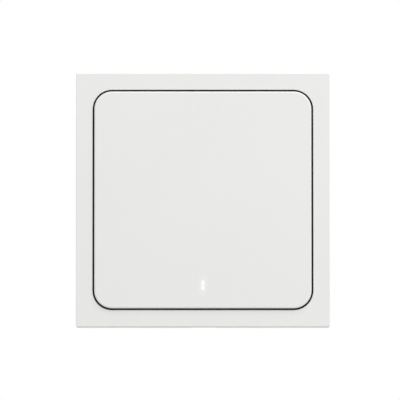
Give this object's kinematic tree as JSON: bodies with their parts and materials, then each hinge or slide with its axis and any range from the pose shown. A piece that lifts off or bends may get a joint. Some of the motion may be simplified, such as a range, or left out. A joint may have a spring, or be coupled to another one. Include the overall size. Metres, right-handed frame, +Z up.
{
  "type": "smart light switch",
  "caption": "Square white wall switch with one large hinged key, a small lit bar near its bottom edge, and an eight-sided box behind for the wall box.",
  "frame": {"origin": "on the wall plane, midway between the two fixing slots of the mounting plate", "axes": "+X to the viewer's right, +Z up the wall, +Y into the wall; the key faces -Y"},
  "size_m": [0.086, 0.0398, 0.086],
  "materials": {
    "white_plastic": "satin white, fine moulded grain",
    "lit_lens": "clear light guide, lit white",
    "black_plastic": "black moulded",
    "grey_plastic": "grey moulded",
    "dark_plastic": "dark grey moulded, fine grain",
    "terminal_grey": "light grey moulded",
    "steel": "zinc plated",
    "spring_steel": "bright wire",
    "tin_plate": "tin plated",
    "brass": "bare brass",
    "circuit_board": "green solder mask",
    "relay_case": "black case",
    "ferrite": "sintered ferrite",
    "coil_tape": "copper winding under yellow tape",
    "capacitor_can": "can in a dark sleeve",
    "film_case": "yellow box",
    "varistor_coat": "blue coat",
    "fuse_body": "ceramic tube"
  },
  "bodies": {
    "base": {"front_frame": "white_plastic", "key_carrier": "black_plastic", "carrier_screws": "steel", "return_spring_left": "spring_steel", "return_spring_right": "spring_steel", "control_board": "circuit_board", "tact_switch_body": "black_plastic", "status_led": "lit_lens", "radio_board": "circuit_board", "radio_shield": "tin_plate", "connector_plug": "black_plastic", "connector_pins": "brass", "connector_socket": "black_plastic", "power_board": "circuit_board", "power_board_screws": "steel", "relay": "relay_case", "transformer_core": "ferrite", "transformer_coil": "coil_tape", "bulk_capacitor": "capacitor_can", "film_capacitor": "film_case", "surge_varistor": "varistor_coat", "line_fuse": "fuse_body", "terminal_block_left": "terminal_grey", "terminal_block_middle": "terminal_grey", "terminal_block_right": "terminal_grey", "terminal_clamp_left": "brass", "terminal_clamp_middle": "brass", "terminal_clamp_right": "brass", "terminal_screws": "steel", "mounting_plate": "dark_plastic", "rear_box": "dark_plastic"},
    "key": {"push_key": "white_plastic", "indicator_lens": "lit_lens"},
    "switch_stem": {"tact_switch_stem": "grey_plastic"}
  },
  "joints": [
    {"name": "key_press", "type": "hinge", "parent": "base", "child": "key", "pos_m": [0, -0.0064, 0.031], "axis": [1, 0, 0], "range_deg": [0, 1], "stiffness_Nm_per_rad": 4.6, "springref_deg": -0.62, "deforming": ["return_spring_left", "return_spring_right"]},
    {"name": "stem_travel", "type": "slide", "parent": "base", "child": "switch_stem", "axis": [0, 1, 0], "range_m": [0, 0.0008]}
  ],
  "couplings": [
    {"joint": "stem_travel", "follows": "key_press", "m_per_rad": 0.045}
  ]
}
